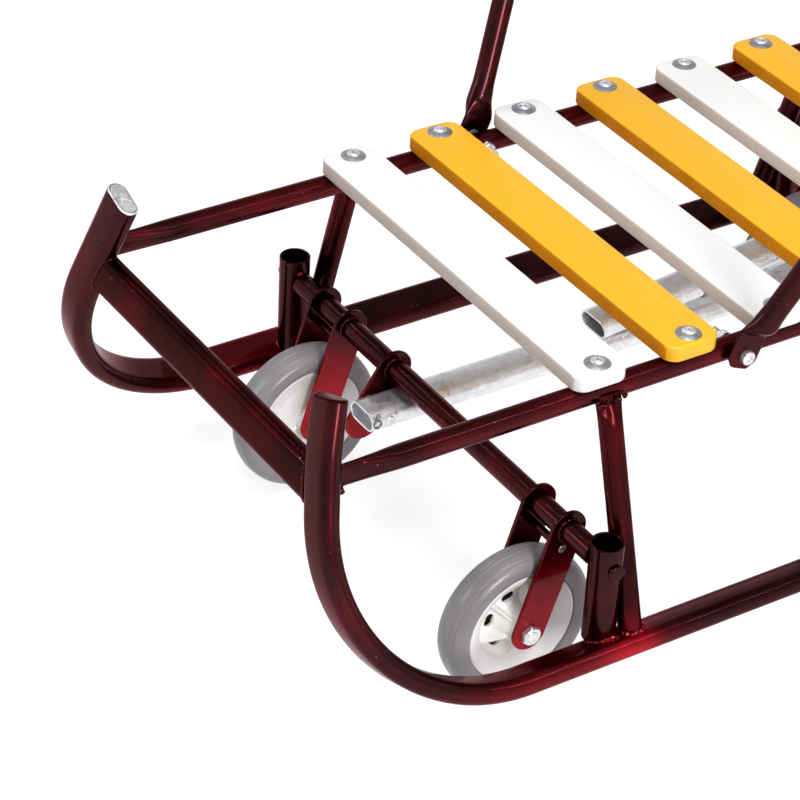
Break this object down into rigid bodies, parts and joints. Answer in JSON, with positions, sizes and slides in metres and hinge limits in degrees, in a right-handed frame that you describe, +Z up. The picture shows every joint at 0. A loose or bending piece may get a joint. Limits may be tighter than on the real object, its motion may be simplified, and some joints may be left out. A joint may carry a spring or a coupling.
{
  "type": "stroller sled",
  "caption": "Child's sled on curled flat-oval runners with a slatted seat, folding wheel forks joined by a lever link, a push handle and a backrest.",
  "frame": {"origin": "on the floor under the middle of the bounding box, with the wheels down", "axes": "+Z up, -Y forward along the sled, +X to the sled's left"},
  "size_m": [0.4456, 0.8399, 0.8925],
  "materials": {
    "garnet_paint": "deep garnet-red metallic gloss paint on steel tube and plate",
    "zinc_steel": "bare galvanised steel with a soft spangle",
    "white_lacquer": "white lacquer on plywood",
    "yellow_lacquer": "warm yellow lacquer on plywood",
    "grey_rubber": "light warm grey solid rubber",
    "white_plastic": "white moulded plastic",
    "black_foam": "black closed-cell foam sleeve"
  },
  "bodies": {
    "chassis": {"runner_left": "garnet_paint", "tip_plug_left": "garnet_paint", "seat_rail_left": "garnet_paint", "handle_bolt_left": "zinc_steel", "backrest_bolt_left": "zinc_steel", "runner_right": "garnet_paint", "tip_plug_right": "zinc_steel", "seat_rail_right": "garnet_paint", "handle_bolt_right": "zinc_steel", "backrest_bolt_right": "zinc_steel", "front_crossbar": "garnet_paint", "rear_crossbar": "garnet_paint", "pivot_rod_front": "zinc_steel", "pivot_rod_rear": "zinc_steel", "leg_front_left": "garnet_paint", "pivot_post_front_left": "garnet_paint", "leg_front_right": "garnet_paint", "pivot_post_front_right": "garnet_paint", "leg_rear_left": "garnet_paint", "pivot_post_rear_left": "garnet_paint", "leg_rear_right": "garnet_paint", "pivot_post_rear_right": "garnet_paint", "slat_1": "white_lacquer", "slat_2": "yellow_lacquer", "slat_3": "white_lacquer", "slat_4": "yellow_lacquer", "slat_5": "white_lacquer", "slat_6": "yellow_lacquer", "slat_7": "white_lacquer", "slat_8": "yellow_lacquer"},
    "front_swing": {"swing_tube_front": "garnet_paint", "link_plate_front": "garnet_paint", "fork_outer_front_left": "garnet_paint", "fork_inner_front_left": "garnet_paint", "wheel_bolt_front_left": "zinc_steel", "fork_outer_front_right": "garnet_paint", "fork_inner_front_right": "garnet_paint", "wheel_bolt_front_right": "zinc_steel"},
    "wheel_front_left": {"hub_front_left": "white_plastic", "tyre_front_left": "grey_rubber"},
    "wheel_front_right": {"hub_front_right": "white_plastic", "tyre_front_right": "grey_rubber"},
    "rear_swing": {"swing_tube_rear": "garnet_paint", "link_plate_rear": "garnet_paint", "fork_outer_rear_left": "garnet_paint", "fork_inner_rear_left": "garnet_paint", "wheel_bolt_rear_left": "zinc_steel", "fork_outer_rear_right": "garnet_paint", "fork_inner_rear_right": "garnet_paint", "wheel_bolt_rear_right": "zinc_steel"},
    "wheel_rear_left": {"hub_rear_left": "white_plastic", "tyre_rear_left": "grey_rubber"},
    "wheel_rear_right": {"hub_rear_right": "white_plastic", "tyre_rear_right": "grey_rubber"},
    "link": {"link_bar": "zinc_steel", "lift_lever": "zinc_steel"},
    "handle": {"push_handle": "garnet_paint", "handle_grip": "black_foam"},
    "backrest": {"backrest_frame": "garnet_paint", "backrest_board": "yellow_lacquer"}
  },
  "joints": [
    {"name": "front_wheels_fold", "type": "hinge", "parent": "chassis", "child": "front_swing", "pos_m": [0, -0.2165, 0.1357], "axis": [1, 0, 0], "range_deg": [0, 100]},
    {"name": "rear_wheels_fold", "type": "hinge", "parent": "chassis", "child": "rear_swing", "pos_m": [0, 0.25, 0.1357], "axis": [1, 0, 0], "range_deg": [0, 100]},
    {"name": "link_swing", "type": "hinge", "parent": "front_swing", "child": "link", "pos_m": [0, -0.23805, 0.11629], "axis": [1, 0, 0], "range_deg": [-100, 0]},
    {"name": "wheel_spin_front_left", "type": "hinge", "parent": "front_swing", "child": "wheel_front_left", "pos_m": [0.1385, -0.24191, 0.0575], "axis": [1, 0, 0], "continuous": true},
    {"name": "wheel_spin_front_right", "type": "hinge", "parent": "front_swing", "child": "wheel_front_right", "pos_m": [-0.1385, -0.24191, 0.0575], "axis": [1, 0, 0], "continuous": true},
    {"name": "wheel_spin_rear_left", "type": "hinge", "parent": "rear_swing", "child": "wheel_rear_left", "pos_m": [0.1385, 0.22459, 0.0575], "axis": [1, 0, 0], "continuous": true},
    {"name": "wheel_spin_rear_right", "type": "hinge", "parent": "rear_swing", "child": "wheel_rear_right", "pos_m": [-0.1385, 0.22459, 0.0575], "axis": [1, 0, 0], "continuous": true},
    {"name": "handle_fold", "type": "hinge", "parent": "chassis", "child": "handle", "pos_m": [0, -0.09, 0.2392], "axis": [1, 0, 0], "range_deg": [0, 110]},
    {"name": "backrest_fold", "type": "hinge", "parent": "chassis", "child": "backrest", "pos_m": [0, 0.3455, 0.2392], "axis": [1, 0, 0], "range_deg": [0, 82]}
  ],
  "couplings": [
    {"joint": "rear_wheels_fold", "follows": "front_wheels_fold", "ratio": 1},
    {"joint": "link_swing", "follows": "front_wheels_fold", "ratio": -1}
  ]
}
